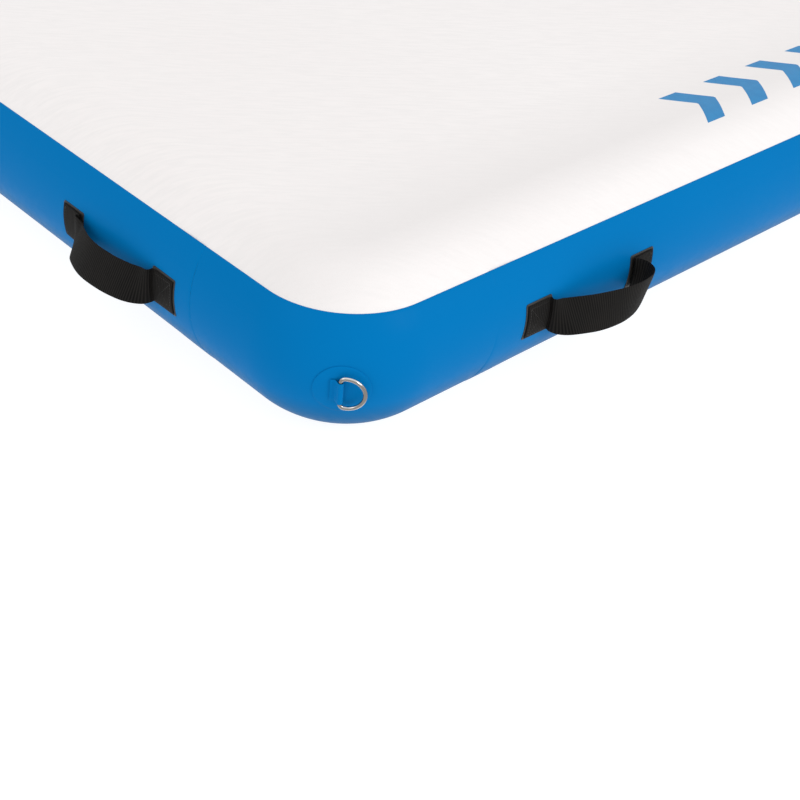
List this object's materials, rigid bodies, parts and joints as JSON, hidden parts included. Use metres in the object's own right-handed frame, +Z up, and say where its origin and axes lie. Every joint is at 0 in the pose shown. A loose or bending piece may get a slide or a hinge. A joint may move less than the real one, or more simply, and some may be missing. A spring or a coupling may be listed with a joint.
{
  "type": "air track mat",
  "caption": "Low inflatable tumbling mat with a flat white top, rounded blue walls, webbing carry handles, corner D-rings and a capped air valve.",
  "frame": {"origin": "on the floor under the middle of the mat", "axes": "+Z up, +Y along the mat towards the valve end, +X across it to the right"},
  "size_m": [2.0768, 3.0768, 0.2],
  "materials": {
    "white_pvc": "fine linen-grained coated fabric, satin",
    "blue_pvc": "smooth coated fabric, satin sheen",
    "seam_tape": "matt coated tape",
    "polyester_yarn": "matt yarn",
    "black_pvc": "matt coated fabric",
    "black_webbing": "ribbed woven webbing with a dull sheen",
    "polished_steel": "polished",
    "valve_plastic": "moulded, fine texture",
    "cap_plastic": "moulded, satin",
    "valve_rubber": "matt"
  },
  "bodies": {
    "mat": {"handle_ends_front_left": "black_webbing", "handle_ends_front_right": "black_webbing", "handle_ends_back_left": "black_webbing", "handle_ends_back_right": "black_webbing", "handle_ends_left_front": "black_webbing", "handle_ends_left_middle": "black_webbing", "handle_ends_left_back": "black_webbing", "handle_ends_right_front": "black_webbing", "handle_ends_right_middle": "black_webbing", "handle_ends_right_back": "black_webbing", "d_ring_patch_front_left": "blue_pvc", "d_ring_strap_front_left": "blue_pvc", "corner_wall_front_left": "blue_pvc", "d_ring_patch_front_right": "blue_pvc", "d_ring_strap_front_right": "blue_pvc", "corner_wall_front_right": "blue_pvc", "d_ring_patch_back_left": "blue_pvc", "d_ring_strap_back_left": "blue_pvc", "corner_wall_back_left": "blue_pvc", "d_ring_patch_back_right": "blue_pvc", "d_ring_strap_back_right": "blue_pvc", "corner_wall_back_right": "blue_pvc", "top_sheet": "white_pvc", "bottom_sheet": "blue_pvc", "upper_seam_tape": "seam_tape", "lower_seam_tape": "seam_tape", "wall_lap_tapes": "seam_tape", "drop_stitch_yarns": "polyester_yarn", "handle_backings": "black_pvc", "side_wall_front": "blue_pvc", "side_wall_back": "blue_pvc", "side_wall_left": "blue_pvc", "side_wall_right": "blue_pvc", "valve_boss": "blue_pvc", "valve_body": "valve_plastic", "valve_gasket": "valve_rubber", "valve_nut": "valve_plastic", "valve_spring": "polished_steel", "valve_cap_pin": "polished_steel"},
    "handle_front_left": {"handle_loop_front_left": "black_webbing"},
    "handle_front_right": {"handle_loop_front_right": "black_webbing"},
    "handle_back_left": {"handle_loop_back_left": "black_webbing"},
    "handle_back_right": {"handle_loop_back_right": "black_webbing"},
    "handle_left_front": {"handle_loop_left_front": "black_webbing"},
    "handle_left_middle": {"handle_loop_left_middle": "black_webbing"},
    "handle_left_back": {"handle_loop_left_back": "black_webbing"},
    "handle_right_front": {"handle_loop_right_front": "black_webbing"},
    "handle_right_middle": {"handle_loop_right_middle": "black_webbing"},
    "handle_right_back": {"handle_loop_right_back": "black_webbing"},
    "d_ring_front_left": {"d_ring_front_left": "polished_steel"},
    "d_ring_front_right": {"d_ring_front_right": "polished_steel"},
    "d_ring_back_left": {"d_ring_back_left": "polished_steel"},
    "d_ring_back_right": {"d_ring_back_right": "polished_steel"},
    "valve_cap": {"valve_cap": "cap_plastic", "valve_cap_seal": "valve_rubber"},
    "valve_plunger": {"valve_plunger": "cap_plastic", "valve_diaphragm": "valve_rubber", "valve_washer": "polished_steel"}
  },
  "joints": [
    {"name": "handle_front_left_swing", "type": "hinge", "parent": "mat", "child": "handle_front_left", "pos_m": [-0.623, -1.501, 0.0985], "axis": [-1, 0, 0], "range_deg": [-40, 30], "stiffness_Nm_per_rad": 0.12},
    {"name": "handle_front_right_swing", "type": "hinge", "parent": "mat", "child": "handle_front_right", "pos_m": [0.623, -1.501, 0.0985], "axis": [-1, 0, 0], "range_deg": [-40, 30], "stiffness_Nm_per_rad": 0.12},
    {"name": "handle_back_left_swing", "type": "hinge", "parent": "mat", "child": "handle_back_left", "pos_m": [-0.623, 1.501, 0.0985], "axis": [1, 0, 0], "range_deg": [-40, 30], "stiffness_Nm_per_rad": 0.12},
    {"name": "handle_back_right_swing", "type": "hinge", "parent": "mat", "child": "handle_back_right", "pos_m": [0.623, 1.501, 0.0985], "axis": [1, 0, 0], "range_deg": [-40, 30], "stiffness_Nm_per_rad": 0.12},
    {"name": "handle_left_front_swing", "type": "hinge", "parent": "mat", "child": "handle_left_front", "pos_m": [-1.001, -1.141, 0.0985], "axis": [0, 1, 0], "range_deg": [-40, 30], "stiffness_Nm_per_rad": 0.12},
    {"name": "handle_left_middle_swing", "type": "hinge", "parent": "mat", "child": "handle_left_middle", "pos_m": [-1.001, 0, 0.0985], "axis": [0, 1, 0], "range_deg": [-40, 30], "stiffness_Nm_per_rad": 0.12},
    {"name": "handle_left_back_swing", "type": "hinge", "parent": "mat", "child": "handle_left_back", "pos_m": [-1.001, 1.141, 0.0985], "axis": [0, 1, 0], "range_deg": [-40, 30], "stiffness_Nm_per_rad": 0.12},
    {"name": "handle_right_front_swing", "type": "hinge", "parent": "mat", "child": "handle_right_front", "pos_m": [1.001, -1.141, 0.0985], "axis": [0, -1, 0], "range_deg": [-40, 30], "stiffness_Nm_per_rad": 0.12},
    {"name": "handle_right_middle_swing", "type": "hinge", "parent": "mat", "child": "handle_right_middle", "pos_m": [1.001, 0, 0.0985], "axis": [0, -1, 0], "range_deg": [-40, 30], "stiffness_Nm_per_rad": 0.12},
    {"name": "handle_right_back_swing", "type": "hinge", "parent": "mat", "child": "handle_right_back", "pos_m": [1.001, 1.141, 0.0985], "axis": [0, -1, 0], "range_deg": [-40, 30], "stiffness_Nm_per_rad": 0.12},
    {"name": "d_ring_front_left_swing", "type": "hinge", "parent": "mat", "child": "d_ring_front_left", "pos_m": [-0.96103, -1.46865, 0.09164], "axis": [0.0537, 0.0582, -0.9969], "range_deg": [-12, 172]},
    {"name": "d_ring_front_right_swing", "type": "hinge", "parent": "mat", "child": "d_ring_front_right", "pos_m": [0.96865, -1.46103, 0.09164], "axis": [-0.0582, 0.0537, -0.9969], "range_deg": [-12, 172]},
    {"name": "d_ring_back_left_swing", "type": "hinge", "parent": "mat", "child": "d_ring_back_left", "pos_m": [-0.96865, 1.46103, 0.09164], "axis": [0.0582, -0.0537, -0.9969], "range_deg": [-12, 172]},
    {"name": "d_ring_back_right_swing", "type": "hinge", "parent": "mat", "child": "d_ring_back_right", "pos_m": [0.96103, 1.46865, 0.09164], "axis": [-0.0537, -0.0582, -0.9969], "range_deg": [-12, 172]},
    {"name": "valve_cap_hinge", "type": "hinge", "parent": "mat", "child": "valve_cap", "pos_m": [0, 1.5098, 0.133], "axis": [1, 0, 0], "range_deg": [0, 140]},
    {"name": "valve_plunger_slide", "type": "slide", "parent": "mat", "child": "valve_plunger", "axis": [0, -1, 0], "range_m": [0, 0.005], "stiffness_N_per_m": 400, "springref_m": -0.003, "deforming": ["valve_spring"]}
  ]
}
